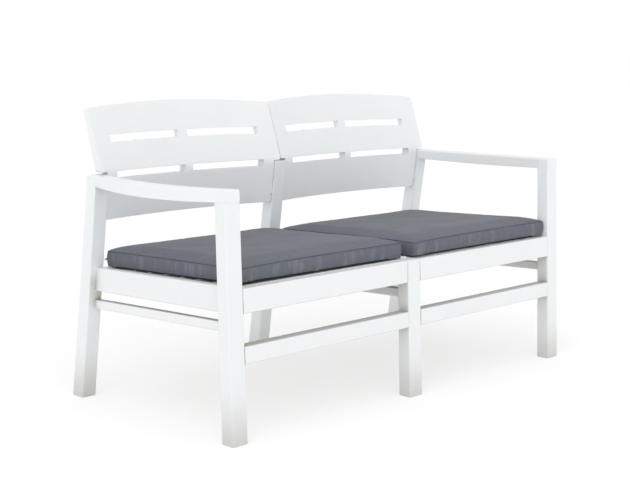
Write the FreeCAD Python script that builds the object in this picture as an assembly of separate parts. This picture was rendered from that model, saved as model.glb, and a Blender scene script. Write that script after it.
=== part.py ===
import FreeCAD, Part
import os

from FreeCAD import Vector

# A two-seat moulded-plastic garden bench with two loose seat cushions.
# Millimetres. X runs along the bench, +Y towards its back, +Z up. The origin is on the ground,
# under the middle of the footprint.

# ---- driving dimensions -------------------------------------------------------------------

BENCH_WIDTH = 1330.0          # over the outer faces of the legs
BENCH_DEPTH = 686.0           # over the feet, front to back

FRONT_LEG_WIDTH = 48.0
MIDDLE_LEG_WIDTH = 50.0
FRONT_LEG_DEPTH = 41.7        # at the ground
FRONT_FACE_LEAN = 0.033       # backward lean of the front face, per mm of height
FRONT_LEG_BACK_LEAN = 0.027   # backward lean of the same leg's hidden face
ARM_SEAT_HEIGHT = 588.7       # where an armrest sits on its front leg

POST_WIDTH = 43.0             # the rear legs run up as posts
POST_DEPTH = 48.8             # at the ground
POST_FRONT_LEAN = -0.153      # the posts lean forward as they rise
POST_BACK_LEAN = -0.166
POST_HEIGHT = 621.0

LEG_WALL = 5.0
LEG_CAP = 26.0                # solid top of a hollow leg
LEG_EDGE_RADIUS = 3.0
PLUG_HEIGHT = 14.0

RAIL_BOTTOM = 319.5
RAIL_TOP = 380.4
RAIL_THICKNESS = 26.0
REAR_RAIL_BOTTOM = 304.0
REAR_RAIL_TOP = 363.0
REAR_RAIL_THICKNESS = 24.0
STRETCHER_BOTTOM = 195.9
STRETCHER_TOP = 239.2
STRETCHER_THICKNESS = 34.0
RAIL_WALL = 4.5
RIB = 3.0
RAIL_BAY_COUNT = 5
RAIL_EDGE_RADIUS = 2.5
JOINT_GAP = 0.3               # where a front rail or stretcher meets a leg
LOOSE_JOINT_GAP = 2.6         # the left front rail stands off the middle leg by this much

SIDE_INSET = 21.0             # the side bars stand back from the legs' outer faces
APRON_THICKNESS = 22.0
APRON_HEIGHT = 64.0
APRON_FRONT_TOP = 384.5
APRON_REAR_TOP = 367.5
APRON_BAY_COUNT = 4
SIDE_BAR_THICKNESS = 20.0
SIDE_BAR_HEIGHT = 24.0
SIDE_BAR_FRONT_TOP = 297.0
SIDE_BAR_REAR_TOP = 278.0
MIDDLE_BAR_THICKNESS = 24.0

TENON = 12.0                  # how far a bar's tenon enters its leg
TENON_FIT = 0.2
TENON_SHOULDER = 8.0          # a bar's face around its tenon
SIDE_TENON_SHOULDER = 5.0

ARM_BOW = 28.0                # the armrests bow outwards between front leg and post
ARM_FRONT_HEIGHT = 30.3       # the armrest's own height over the front leg
ARM_REAR_HEIGHT = 30.0        # and at the post, whose top it makes
ARM_TOP_DIP = 3.5
ARM_BELLY = 6.0
ARM_EDGE_RADIUS = 4.0
ARM_PEG = 17.0

SEAT_RIM = 22.0
SEAT_SKIN = 4.0
SEAT_WALL = 4.0
SEAT_SLOPE = -0.0320          # the seat falls towards the back
SEAT_GAP = 0.5
LEDGE_DEPTH = 16.0
LEDGE_HEIGHT = 8.0
SEAT_SLOT_LENGTH = 118.0
SEAT_SLOT_WIDTH = 12.0
SEAT_SLOT_ROWS = 7
SEAT_SLOT_COLUMNS = 4

BACK_RISE = 187.5             # top of the back above the posts' tops
BACK_ARCH = 15.5              # rise of the top edge from its ends to its middle
BACK_HOLLOW = 34.0            # how far the middle of each back sinks behind its ends
BACK_LEAN = 0.329             # backward lean of the upper back
BEND_RISE = 1.0               # the upper back turns into the lower slat this far above the posts
BEND_RADIUS = 55.0
BACK_RECESS = 1.0             # the lower slat's front face behind the posts' front faces
BACK_TOP_THICKNESS = 18.5
BACK_BEND_THICKNESS = 29.0
BACK_FOOT_THICKNESS = 17.0
BACK_SKIN = 4.5
BACK_RIM = 5.0
BACK_RIBS = (-0.84, -0.5, 0.5, 0.84)   # upright ribs, as shares of half a back's width
SLAT_DROP = 124.5             # lower edge of the lower slat, at its ends, below the posts' tops
FOOT_ARCH = 1.5
OVERHANG_GAP = 6.0            # between a post's top and the upper back that reaches over it
SEAM_GAP = 1.5                # between the two backs
POST_GAP = 1.5                # between the lower slat and a post
SLOT_MARGIN = 57.0            # from the end of a back to its first slot
UPPER_SLOT_BAR = 30.0         # between the two slots of a row
LOWER_SLOT_BAR = 25.0
SLOT_HEIGHT = 20.5
UPPER_SLOT_RISE = 79.5        # lower edges of the slots, from the posts' tops
UPPER_SLOT_ARCH = 4.5
LOWER_SLOT_RISE = -15.0
LOWER_SLOT_ARCH = 1.0
SLOT_CORNER = 2.5
COLLAR = 4.0                  # the wall moulded around each slot, behind the skin
UPPER_COLLAR_DEPTH = 9.0      # the upper row's collars stop short of the rim's back edge
BACK_TENON_FOOT = 25.5        # above the lower slat's edge
BACK_TENON_HEIGHT = 68.0
BACK_TENON_THICKNESS = 12.5
BACK_SCREW_INSET = (16.0, 8.0)         # from the tenon's lower and upper ends

CUSHION_PLAY = (18.0, 15.4)   # narrower than middle to front leg, shallower than rail to post
CUSHION_THICKNESS = 54.0
CUSHION_LIFT = 0.3            # clear of the seat it lies on
CUSHION_FRONT_CORNER = 7.0
CUSHION_REAR_CORNER = 12.0
CUSHION_POST_GAP = 1.0        # where the left cushion's rear corner squeezes past the middle post
CUSHION_EDGE = 6.0
LEFT_CUSHION_PLACE = (4.5, 27.4)       # from the nearest front leg and from the rails' front face
RIGHT_CUSHION_PLACE = (0.5, 12.4)

SCREW_RADIUS = 2.2
SCREW_HEAD_RADIUS = 4.2
SCREW_HEAD_HEIGHT = 2.4
SCREW_CLEARANCE = 0.15
SCREW_REACH = 5.0             # past the middle of the bar it holds
SCREW_DRIVE = (4.6, 1.2, 1.3)          # the cross recess: length, width and depth
SEAT_SCREW_BITE = 12.0        # how far a seat panel's screw passes its ledge
ARM_SCREW_BITE = 8.0          # how far an armrest's screw passes the leg's peg

HALF_WIDTH = BENCH_WIDTH / 2
BACK_TOP = POST_HEIGHT + BACK_RISE
BEND_HEIGHT = POST_HEIGHT + BEND_RISE
BACK_FOOT = POST_HEIGHT - SLAT_DROP
OVERHANG_HEIGHT = POST_HEIGHT + OVERHANG_GAP
SIDES = {"left": -1, "right": 1}
os.makedirs("parts", exist_ok=True)


# ---- planes of the frame ------------------------------------------------------------------

def front_face_y(z):
    return -BENCH_DEPTH / 2 + FRONT_FACE_LEAN * z


def front_leg_back_y(z):
    return -BENCH_DEPTH / 2 + FRONT_LEG_DEPTH + FRONT_LEG_BACK_LEAN * z


def post_front_y(z):
    return BENCH_DEPTH / 2 - POST_DEPTH + POST_FRONT_LEAN * z


def post_back_y(z):
    return BENCH_DEPTH / 2 + POST_BACK_LEAN * z


RAIL_BACK_Y = front_face_y(RAIL_TOP) + RAIL_THICKNESS
SEAT_HIGH_Y = front_leg_back_y(RAIL_TOP)


def seat_z(y):
    """Top of the seat, just clear of the middle leg's top."""
    return RAIL_TOP + 0.2 + SEAT_SLOPE * (y - SEAT_HIGH_Y)


# ---- small tools --------------------------------------------------------------------------

def box(low, high):
    size = [high[i] - low[i] for i in range(3)]
    return Part.makeBox(*size, Vector(*low))


def plate(corners, x_from, x_to):
    """A solid of constant YZ outline between two X positions."""
    start, end = min(x_from, x_to), max(x_from, x_to)
    points = [Vector(start, y, z) for y, z in corners]
    face = Part.Face(Part.makePolygon(points + points[:1]))
    return face.extrude(Vector(end - start, 0, 0))


def rounded(solid, radius, direction):
    """Rounds the edges that run mostly along one axis."""
    def runs_along(edge):
        ends = edge.Vertexes[-1].Point - edge.Vertexes[0].Point
        return ends.Length > 0 and abs(ends.normalize().dot(direction)) > 0.95
    edges = [edge for edge in solid.Edges if len(edge.Vertexes) == 2 and runs_along(edge)]
    return solid.makeFillet(radius, edges)


def mirrored(solid):
    return solid.mirror(Vector(0, 0, 0), Vector(1, 0, 0))


def arc(start, middle, end):
    return Part.Arc(start, middle, end).toShape()


def line(start, end):
    return Part.LineSegment(start, end).toShape()


def export(name, shape):
    shape.exportStep("parts/" + name + ".step")


def bays(start, end, count):
    """Hollow stretches between the cross ribs of a moulded bar."""
    pitch = (end - start + RIB) / count
    return [(start + i * pitch, start + (i + 1) * pitch - RIB) for i in range(count)]


# ---- screws -------------------------------------------------------------------------------

def screw(seat_point, inward, length):
    head = Part.makeCylinder(SCREW_HEAD_RADIUS, SCREW_HEAD_HEIGHT, seat_point, inward * -1)
    rim = [edge for edge in head.Edges if len(edge.Vertexes) == 1]
    top = max(rim, key=lambda edge: (edge.CenterOfMass - seat_point).Length)
    head = head.makeFillet(SCREW_HEAD_HEIGHT * 0.6, [top])
    shank = Part.makeCylinder(SCREW_RADIUS, length, seat_point, inward)
    across, width, depth = SCREW_DRIVE
    half, thin = across / 2, width / 2
    drive = box((-half, -thin, 0), (half, thin, depth + 1))
    drive = drive.fuse(box((-thin, -half, 0), (thin, half, depth + 1)))
    drive.Placement = FreeCAD.Placement(seat_point - inward * (SCREW_HEAD_HEIGHT - depth),
                                        FreeCAD.Rotation(Vector(0, 0, 1), inward * -1))
    return head.fuse(shank).removeSplitter().cut(drive)


def screw_hole(seat_point, inward, length):
    radius = SCREW_RADIUS + SCREW_CLEARANCE
    return Part.makeCylinder(radius, length + 1.0, seat_point, inward)


# ---- tenons: each bar plugs into the legs at its ends -------------------------------------

def end_tenons(x_near, x_far, y_range, z_range, grow=0.0, root=(0.0, 0.0)):
    """Both end tenons of a bar that runs along X, lengthened by the gap at each end."""
    reach = TENON + grow
    return [
        box((x_near - reach, y_range[0] - grow, z_range[0] - grow),
            (x_near + root[0], y_range[1] + grow, z_range[1] + grow)),
        box((x_far - root[1], y_range[0] - grow, z_range[0] - grow),
            (x_far + reach, y_range[1] + grow, z_range[1] + grow)),
    ]


STRETCHER_BACK_Y = front_face_y(STRETCHER_TOP) + STRETCHER_THICKNESS
REAR_RAIL_FRONT_Y = post_front_y(REAR_RAIL_BOTTOM)
RAIL_TENON = ((front_face_y(RAIL_BOTTOM) + TENON_SHOULDER, RAIL_BACK_Y - TENON_SHOULDER),
              (RAIL_BOTTOM + TENON_SHOULDER, RAIL_TOP - TENON_SHOULDER))
STRETCHER_TENON = ((front_face_y(STRETCHER_BOTTOM) + TENON_SHOULDER, STRETCHER_BACK_Y - TENON_SHOULDER),
                   (STRETCHER_BOTTOM + TENON_SHOULDER, STRETCHER_TOP - TENON_SHOULDER))
REAR_TENON = ((REAR_RAIL_FRONT_Y + 2, REAR_RAIL_FRONT_Y + 13),
              (REAR_RAIL_BOTTOM + 5, REAR_RAIL_BOTTOM + 23))

# The bays between the legs, seen from the front: (x of the near face, x of the far face).
FRONT_BAY = (MIDDLE_LEG_WIDTH / 2, HALF_WIDTH - FRONT_LEG_WIDTH)
REAR_BAY = (POST_WIDTH / 2, HALF_WIDTH - POST_WIDTH)


# ---- side bars: an apron and a thinner bar join each front leg to its post -----------------

def side_bar(x_from, x_to, front_top, rear_top, height):
    corners = [
        (front_leg_back_y(front_top - height), front_top - height),
        (front_leg_back_y(front_top), front_top),
        (post_front_y(rear_top), rear_top),
        (post_front_y(rear_top - height), rear_top - height),
    ]
    return rounded(plate(corners, x_from, x_to), RAIL_EDGE_RADIUS, Vector(0, 1, 0))


def side_tenons(x_from, x_to, front_top, rear_top, height, grow=0.0):
    """Front and rear tenons of a side bar; the rear one keeps to the bar's upper half."""
    x_low, x_high = x_from + SIDE_TENON_SHOULDER - grow, x_to - SIDE_TENON_SHOULDER + grow
    front_foot, rear_foot = front_top - height, rear_top - height
    front_y, rear_y = front_leg_back_y(front_foot), post_front_y(rear_top)
    rear_tenon_foot = rear_foot + SIDE_TENON_SHOULDER
    if rear_top > REAR_TENON[1][1]:
        rear_tenon_foot = max(rear_tenon_foot, REAR_TENON[1][1] + 4)
    front = box((x_low, front_y - TENON - grow, front_foot + TENON_SHOULDER - grow),
                (x_high, front_y + 8, front_top - TENON_SHOULDER + grow))
    rear = box((x_low, rear_y - 2, rear_tenon_foot - grow),
               (x_high, rear_y + TENON + 4 + grow, rear_top - SIDE_TENON_SHOULDER - 1 + grow))
    return [front, rear]


def side_positions():
    """X range of the apron and of the thinner bar in each of the three side frames."""
    outer = HALF_WIDTH - SIDE_INSET
    middle = MIDDLE_BAR_THICKNESS / 2
    slim = (APRON_THICKNESS - SIDE_BAR_THICKNESS) / 2
    return {
        "left": ((-outer, -outer + APRON_THICKNESS), (-outer + slim, -outer + APRON_THICKNESS - slim)),
        "middle": ((-middle, middle), (-middle + slim, middle - slim)),
        "right": ((outer - APRON_THICKNESS, outer), (outer - APRON_THICKNESS + slim, outer - slim)),
    }


def side_screw_spot(side, name, x_from, x_to, rear_top, height):
    """Start, direction and length of the screw that locks a side bar's rear tenon.

    A thin bar's screw starts on its post's hidden inner face. Behind an apron the rear rail covers
    that face, so its screw comes through the post from the back. The front tenons only snap in.
    """
    middle_x = (x_from + x_to) / 2
    if name == "side_apron_":
        z = rear_top - height / 3
        length = post_back_y(z) - post_front_y(z) - 4
        return Vector(middle_x, post_back_y(z), z), INTO_POST, length
    outward = Vector(1 if side == "right" else -1, 0, 0)
    post_x = {"left": -REAR_BAY[1], "middle": REAR_BAY[0], "right": REAR_BAY[1]}[side]
    spot = Vector(post_x, post_front_y(rear_top) + TENON - 1, rear_top - height / 2)
    return spot, outward, abs(post_x - middle_x) + SCREW_REACH


INTO_POST = Vector(0, -1, POST_BACK_LEAN).normalize()
APRON_LINE = (APRON_FRONT_TOP, APRON_REAR_TOP, APRON_HEIGHT)
SIDE_BAR_LINE = (SIDE_BAR_FRONT_TOP, SIDE_BAR_REAR_TOP, SIDE_BAR_HEIGHT)
APRON_SLOPE = (APRON_REAR_TOP - APRON_FRONT_TOP) / (post_front_y(0) - front_leg_back_y(0))
APRON_BAYS = (front_leg_back_y(APRON_FRONT_TOP) + 14, post_front_y(APRON_REAR_TOP) - 8)
side_mortises = []
side_screws = []
side_screw_holes = []
for side, (apron_x, bar_x) in side_positions().items():
    for name, x_range, bar_line in (("side_apron_", apron_x, APRON_LINE),
                                    ("side_bar_", bar_x, SIDE_BAR_LINE)):
        bar = side_bar(*x_range, *bar_line)
        for tenon in side_tenons(*x_range, *bar_line):
            bar = bar.fuse(tenon)
        if name == "side_apron_":
            for start, end in bays(*APRON_BAYS, APRON_BAY_COUNT):
                top = APRON_FRONT_TOP + APRON_SLOPE * (end - front_leg_back_y(0)) - RAIL_WALL - 2
                bar = bar.cut(box((x_range[0] + RAIL_WALL, start, APRON_REAR_TOP - APRON_HEIGHT - 10),
                                  (x_range[1] - RAIL_WALL, end, top)))
        fixing = side_screw_spot(side, name, *x_range, *bar_line[1:])
        side_screws.append(screw(*fixing))
        side_screw_holes.append(screw_hole(*fixing))
        bar = bar.cut(side_screw_holes[-1])
        side_mortises += side_tenons(*x_range, *bar_line, grow=TENON_FIT)
        export(name + side, bar)


# ---- front rails, front stretchers, rear rails --------------------------------------------

def bar_between_legs(front_y, thickness, foot, top, bay, tenon, gaps=(0.0, 0.0)):
    """A bar moulded as an upside-down trough with cross ribs and a tenon at each end."""
    near, far = bay[0] + gaps[0], bay[1] - gaps[1]
    def trough(wall, low, high):
        back = 0.0 if front_y is post_front_y else front_y(RAIL_TOP) - front_y(foot)
        return [(front_y(low) + wall, low), (front_y(high) + wall, high),
                (front_y(high) + thickness - wall, high), (front_y(low) + thickness + back - wall, low)]
    bar = rounded(plate(trough(0.0, foot, top), near, far), RAIL_EDGE_RADIUS, Vector(1, 0, 0))
    for start, end in bays(near + RAIL_WALL + 2, far - RAIL_WALL - 2, RAIL_BAY_COUNT):
        bar = bar.cut(plate(trough(RAIL_WALL, foot - 1, top - RAIL_WALL), start, end))
    for plug in end_tenons(*bay, *tenon, root=gaps):
        bar = bar.fuse(plug)
    return bar


def ledge(y_from, y_to, bay, gaps):
    """The step that carries a seat panel; it ends with the panel or with its bar."""
    corners = [
        (y_from, seat_z(y_from) - SEAT_RIM),
        (y_to, seat_z(y_to) - SEAT_RIM),
        (y_to, seat_z(y_to) - SEAT_RIM - LEDGE_HEIGHT),
        (y_from, seat_z(y_from) - SEAT_RIM - LEDGE_HEIGHT),
    ]
    return plate(corners, bay[0] + gaps[0], min(bay[1] - gaps[1], SEAT_X[1]))


SEAT_X = (MIDDLE_BAR_THICKNESS / 2 + SEAT_GAP, HALF_WIDTH - SIDE_INSET - APRON_THICKNESS - SEAT_GAP)
FRONT_GAPS = {"left": (LOOSE_JOINT_GAP, JOINT_GAP), "right": (JOINT_GAP, JOINT_GAP)}
front_rails = {}
for side, gaps in FRONT_GAPS.items():
    rail = bar_between_legs(front_face_y, RAIL_THICKNESS, RAIL_BOTTOM, RAIL_TOP, FRONT_BAY, RAIL_TENON, gaps)
    front_ledge = ledge(RAIL_BACK_Y - 1, RAIL_BACK_Y + LEDGE_DEPTH - 3, FRONT_BAY, gaps)
    front_rails[side] = rail.fuse(front_ledge)

front_stretcher = bar_between_legs(front_face_y, STRETCHER_THICKNESS, STRETCHER_BOTTOM, STRETCHER_TOP,
                                   FRONT_BAY, STRETCHER_TENON, (JOINT_GAP, JOINT_GAP))

REAR_TOP_Y = post_front_y(REAR_RAIL_TOP)
rear_rail = bar_between_legs(post_front_y, REAR_RAIL_THICKNESS, REAR_RAIL_BOTTOM, REAR_RAIL_TOP,
                             REAR_BAY, REAR_TENON)
rear_rail = rear_rail.fuse(ledge(REAR_TOP_Y - LEDGE_DEPTH, REAR_TOP_Y + 4,
                                 REAR_BAY, (SEAT_GAP, SEAT_GAP)))


# ---- seat panels: slotted trays that drop between the rails ---------------------------------

SEAT_Y = (RAIL_BACK_Y + SEAT_GAP, REAR_TOP_Y - SEAT_GAP)
BOSS_RADIUS = 6.0
BOSS_INSET = 85.0
BOSS_Y = (SEAT_Y[0] + BOSS_RADIUS + 0.5, SEAT_Y[1] - BOSS_RADIUS - 0.5)
BOSS_X = (SEAT_X[0] + BOSS_INSET, SEAT_X[1] - BOSS_INSET)


def seat_slab(x_range, y_range, drop_from, drop_to):
    corners = [
        (y_range[0], seat_z(y_range[0]) - drop_from),
        (y_range[1], seat_z(y_range[1]) - drop_from),
        (y_range[1], seat_z(y_range[1]) - drop_to),
        (y_range[0], seat_z(y_range[0]) - drop_to),
    ]
    return plate(corners, *x_range)


def seat_panel():
    panel = seat_slab(SEAT_X, SEAT_Y, 0, SEAT_RIM)
    top_rim = [edge for edge in panel.Edges
               if all(abs(v.Z - seat_z(v.Y)) < 0.01 for v in edge.Vertexes)]
    panel = panel.makeFillet(1.5, top_rim)
    row_pitch = (SEAT_Y[1] - SEAT_Y[0] - 2 * SEAT_WALL + RIB) / (SEAT_SLOT_ROWS + 1)
    column_pitch = (SEAT_X[1] - SEAT_X[0] - 2 * SEAT_WALL + RIB) / SEAT_SLOT_COLUMNS
    for column in range(SEAT_SLOT_COLUMNS):
        x_start = SEAT_X[0] + SEAT_WALL + column * column_pitch
        for row in range(SEAT_SLOT_ROWS + 1):
            y_start = SEAT_Y[0] + SEAT_WALL + row * row_pitch
            cell_x = (x_start, x_start + column_pitch - RIB)
            cell_y = (y_start, y_start + row_pitch - RIB)
            panel = panel.cut(seat_slab(cell_x, cell_y, SEAT_SKIN, SEAT_RIM + 1))
            if row == 0 or row == SEAT_SLOT_ROWS:
                continue
            middle_x, middle_y = sum(cell_x) / 2, sum(cell_y) / 2
            slot = box((middle_x - SEAT_SLOT_LENGTH / 2, middle_y - SEAT_SLOT_WIDTH / 2, RAIL_BOTTOM),
                       (middle_x + SEAT_SLOT_LENGTH / 2, middle_y + SEAT_SLOT_WIDTH / 2, RAIL_TOP + 20))
            panel = panel.cut(rounded(slot, SEAT_SLOT_WIDTH / 2 - 0.01, Vector(0, 0, 1)))
    for x in BOSS_X:
        for y in BOSS_Y:
            foot = seat_z(y + BOSS_RADIUS) - SEAT_RIM
            boss = Part.makeCylinder(BOSS_RADIUS, SEAT_RIM - SEAT_SKIN / 2, Vector(x, y, foot))
            panel = panel.fuse(boss.common(seat_slab(SEAT_X, SEAT_Y, 1, SEAT_RIM)))
    leg_notch = front_leg_back_y(RAIL_TOP) + 2 * SEAT_GAP
    for x_from, x_to in ((0, FRONT_BAY[0] + 1), (FRONT_BAY[1] - 1, HALF_WIDTH)):
        panel = panel.cut(box((x_from, -BENCH_DEPTH, RAIL_BOTTOM), (x_to, leg_notch, RAIL_TOP + 20)))
    return panel


seat = seat_panel()
seat_screw_spots = [Vector(x, y, seat_z(y) - SEAT_RIM - LEDGE_HEIGHT) for x in BOSS_X for y in BOSS_Y]
up = Vector(0, -SEAT_SLOPE, 1).normalize()
SEAT_SCREW_LENGTH = LEDGE_HEIGHT + SEAT_SCREW_BITE
for spot in seat_screw_spots:
    hole = screw_hole(spot, up, SEAT_SCREW_LENGTH)
    seat = seat.cut(hole)
    front_rails = {side: rail.cut(hole) for side, rail in front_rails.items()}
    rear_rail = rear_rail.cut(hole)
seat_screws = [screw(spot, up, SEAT_SCREW_LENGTH) for spot in seat_screw_spots]
seat_screws += [mirrored(part) for part in seat_screws]

for side, sign in SIDES.items():
    for name, part in (("front_rail_", front_rails[side]), ("front_stretcher_", front_stretcher),
                       ("rear_rail_", rear_rail), ("seat_panel_", seat)):
        export(name + side, part if sign > 0 else mirrored(part))


# ---- back panels: one moulding each, upper back and lower slat ------------------------------

BACK_END = HALF_WIDTH - POST_WIDTH / 2          # the outer end stands over the post's middle
BACK_X = (SEAM_GAP / 2, BACK_END)
SLAT_X = (POST_WIDTH / 2 + POST_GAP, HALF_WIDTH - POST_WIDTH - POST_GAP)
BACK_CENTRE = BACK_END / 2
BEND_Y = post_front_y(BEND_HEIGHT) + BACK_RECESS
HALF_SPAN = BACK_END / 2
HOLLOW_RADIUS = (HALF_SPAN ** 2 + BACK_HOLLOW ** 2) / (2 * BACK_HOLLOW)
AXIS_Y = BEND_Y + BACK_HOLLOW - HOLLOW_RADIUS
SWEEP = 15.0                                    # degrees each side of the middle
TOP_MARGIN = 12.0


def back_front_y(z):
    """Front face at the ends of a back."""
    if z >= BEND_HEIGHT:
        return BEND_Y + BACK_LEAN * (z - BEND_HEIGHT)
    return BEND_Y + POST_FRONT_LEAN * (z - BEND_HEIGHT)


def back_sheet(front_offset, back_offset):
    """A curved sheet: the back's section turned about an upright axis in front of the bench."""
    foot, top = BACK_FOOT - TOP_MARGIN, BACK_TOP + TOP_MARGIN
    lift = BACK_HOLLOW
    front = [(foot, back_front_y(foot)), (BEND_HEIGHT, BEND_Y), (top, back_front_y(top))]
    if back_offset is None:
        thick = (BACK_FOOT_THICKNESS, BACK_BEND_THICKNESS, BACK_TOP_THICKNESS)
    else:
        thick = (back_offset, back_offset, back_offset)
    points = [Vector(BACK_CENTRE, y + front_offset + lift, z) for z, y in front]
    points += [Vector(BACK_CENTRE, y + t + lift, z) for (z, y), t in reversed(list(zip(front, thick)))]
    section = Part.Face(Part.makePolygon(points + points[:1]))
    start = section.copy()
    start.rotate(Vector(BACK_CENTRE, AXIS_Y, 0), Vector(0, 0, 1), -SWEEP)
    sheet = start.revolve(Vector(BACK_CENTRE, AXIS_Y, 0), Vector(0, 0, 1), 2 * SWEEP)
    bend = [edge for edge in sheet.Edges if abs(edge.BoundBox.ZMin - BEND_HEIGHT) < 0.01
            and abs(edge.BoundBox.ZMax - BEND_HEIGHT) < 0.01]
    front_bend = min(bend, key=lambda edge: edge.BoundBox.YMin)
    return sheet.makeFillet(BEND_RADIUS - front_offset, [front_bend])


def arched(s, ends, rise):
    """Height of an arch over the back at distance s from its middle."""
    return ends + rise * (1 - (s / HALF_SPAN) ** 2)


def outline(x_range, foot, foot_rise, top, top_rise, corner, inset=0.0):
    """A block seen from the front with arched lower and upper edges, deep enough to cut with."""
    low, high = x_range[0] + inset, x_range[1] - inset
    middle = (low + high) / 2
    y = -BENCH_DEPTH

    def at(x, ends, rise, shift):
        return Vector(x, y, arched(x - BACK_CENTRE, ends, rise) + shift)

    lower = [at(x, foot, foot_rise, inset) for x in (low, middle, high)]
    upper = [at(x, top, top_rise, -inset) for x in (high, middle, low)]
    edges = [arc(*lower), line(lower[2], upper[0]), arc(*upper), line(upper[2], lower[0])]
    block = Part.Face(Part.Wire(edges)).extrude(Vector(0, 2 * BENCH_DEPTH, 0))
    return rounded(block, corner, Vector(0, 1, 0)) if corner else block


def back_outline(inset=0.0):
    upper = outline(BACK_X, OVERHANG_HEIGHT, 0.01, BACK_TOP - BACK_ARCH, BACK_ARCH, 4.0, inset)
    lower = outline(SLAT_X, BACK_FOOT, FOOT_ARCH, OVERHANG_HEIGHT + 30, 0.01, 2.0, inset)
    return upper.fuse(lower)


def slots(grow=0.0):
    """The four slots of a back, upper row first, grown outwards when their collars are wanted."""
    found = []
    for above_posts, arch, bar in ((UPPER_SLOT_RISE, UPPER_SLOT_ARCH, UPPER_SLOT_BAR),
                                   (LOWER_SLOT_RISE, LOWER_SLOT_ARCH, LOWER_SLOT_BAR)):
        foot = POST_HEIGHT + above_posts
        for x_range in ((BACK_X[0] + SLOT_MARGIN, BACK_CENTRE - bar / 2),
                        (BACK_CENTRE + bar / 2, BACK_END - SLOT_MARGIN)):
            found.append(outline(x_range, foot, arch, foot + SLOT_HEIGHT, arch, SLOT_CORNER, -grow))
    return found


def back_panel():
    panel = back_sheet(0.0, None).common(back_outline())
    hollow = back_sheet(BACK_SKIN, 90.0).common(back_outline(BACK_RIM))
    collars = slots(grow=COLLAR)
    shallow = back_sheet(0.0, UPPER_COLLAR_DEPTH)
    for collar in [upper.common(shallow) for upper in collars[:2]] + collars[2:]:
        hollow = hollow.cut(collar)
    beside_bar = LOWER_SLOT_BAR / 2 - RIB
    ribs = [BACK_CENTRE + HALF_SPAN * share for share in BACK_RIBS]
    for x in ribs + [BACK_CENTRE - beside_bar, BACK_CENTRE + beside_bar]:
        hollow = hollow.cut(box((x - RIB / 2, -BENCH_DEPTH, 0), (x + RIB / 2, BENCH_DEPTH, 2 * BACK_TOP)))
    panel = panel.cut(hollow)
    for slot in slots():
        panel = panel.cut(slot)
    return panel


BACK_TENON_Z = (BACK_FOOT + BACK_TENON_FOOT, BACK_FOOT + BACK_TENON_FOOT + BACK_TENON_HEIGHT)
BACK_TENON_FRONT = back_front_y(BACK_TENON_Z[0]) + 1.5
BACK_TENON_Y = (BACK_TENON_FRONT, BACK_TENON_FRONT + BACK_TENON_THICKNESS)


def back_tenons(grow=0.0):
    low = (SLAT_X[0] - POST_GAP - TENON - grow, BACK_TENON_Y[0] - grow, BACK_TENON_Z[0] - grow)
    high = (SLAT_X[0] + 3, BACK_TENON_Y[1] + grow, BACK_TENON_Z[1] + grow)
    inner = box(low, high)
    outer = inner.mirror(Vector(BACK_CENTRE, 0, 0), Vector(1, 0, 0))
    shift = (REAR_BAY[0] + REAR_BAY[1]) / 2 - BACK_CENTRE
    outer.translate(Vector(2 * shift, 0, 0))
    return [inner, outer]


back = back_panel()
for tenon in back_tenons():
    back = back.fuse(tenon)
back_mortises = back_tenons(grow=TENON_FIT)

back_screws = []
back_holes = []
for tenon_x in (REAR_BAY[0] - TENON / 2, REAR_BAY[1] + TENON / 2):
    for z in (BACK_TENON_Z[0] + BACK_SCREW_INSET[0], BACK_TENON_Z[1] - BACK_SCREW_INSET[1]):
        spot = Vector(tenon_x, post_back_y(z), z)
        length = post_back_y(z) - BACK_TENON_Y[0] - 5
        back_screws.append(screw(spot, INTO_POST, length))
        back_holes.append(screw_hole(spot, INTO_POST, length))
for hole in back_holes:
    back = back.cut(hole)
for side, sign in SIDES.items():
    export("back_panel_" + side, back if sign > 0 else mirrored(back))
back_screws += [mirrored(part) for part in back_screws]


# ---- legs and posts ------------------------------------------------------------------------

rail_mortises = []
for tenon, bay in ((RAIL_TENON, FRONT_BAY), (STRETCHER_TENON, FRONT_BAY), (REAR_TENON, REAR_BAY)):
    rail_mortises += end_tenons(*bay, *tenon, grow=TENON_FIT)
mortises = rail_mortises + back_mortises
mortises += [mirrored(part) for part in mortises]
mortises += side_mortises + side_screw_holes + back_holes + [mirrored(part) for part in back_holes]


def leg(x_from, x_to, height, front_y, back_y):
    """A hollow tapered leg, open at the foot."""
    corners = [(front_y(0), 0), (front_y(height), height), (back_y(height), height), (back_y(0), 0)]
    solid = rounded(plate(corners, x_from, x_to), LEG_EDGE_RADIUS, Vector(0, 0, 1))
    top = height - LEG_CAP
    inside = [(front_y(-1) + LEG_WALL, -1), (front_y(top) + LEG_WALL, top),
              (back_y(top) - LEG_WALL, top), (back_y(-1) - LEG_WALL, -1)]
    return solid.cut(plate(inside, x_from + LEG_WALL, x_to - LEG_WALL))


def plug(x_from, x_to, front_y, back_y):
    """The cap pressed into a leg's open foot."""
    gap = LEG_WALL + TENON_FIT
    corners = [(front_y(0) + gap, 0), (front_y(PLUG_HEIGHT) + gap, PLUG_HEIGHT),
               (back_y(PLUG_HEIGHT) - gap, PLUG_HEIGHT), (back_y(0) - gap, 0)]
    solid = plate(corners, x_from + gap, x_to - gap)
    return solid.cut(box((x_from + gap + 3, front_y(PLUG_HEIGHT) + gap + 3, 4),
                         (x_to - gap - 3, back_y(PLUG_HEIGHT) - gap - 3, PLUG_HEIGHT + 1)))


def with_mortises(solid):
    for cutter in mortises:
        if cutter.BoundBox.intersect(solid.BoundBox):
            solid = solid.cut(cutter)
    return solid


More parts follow.
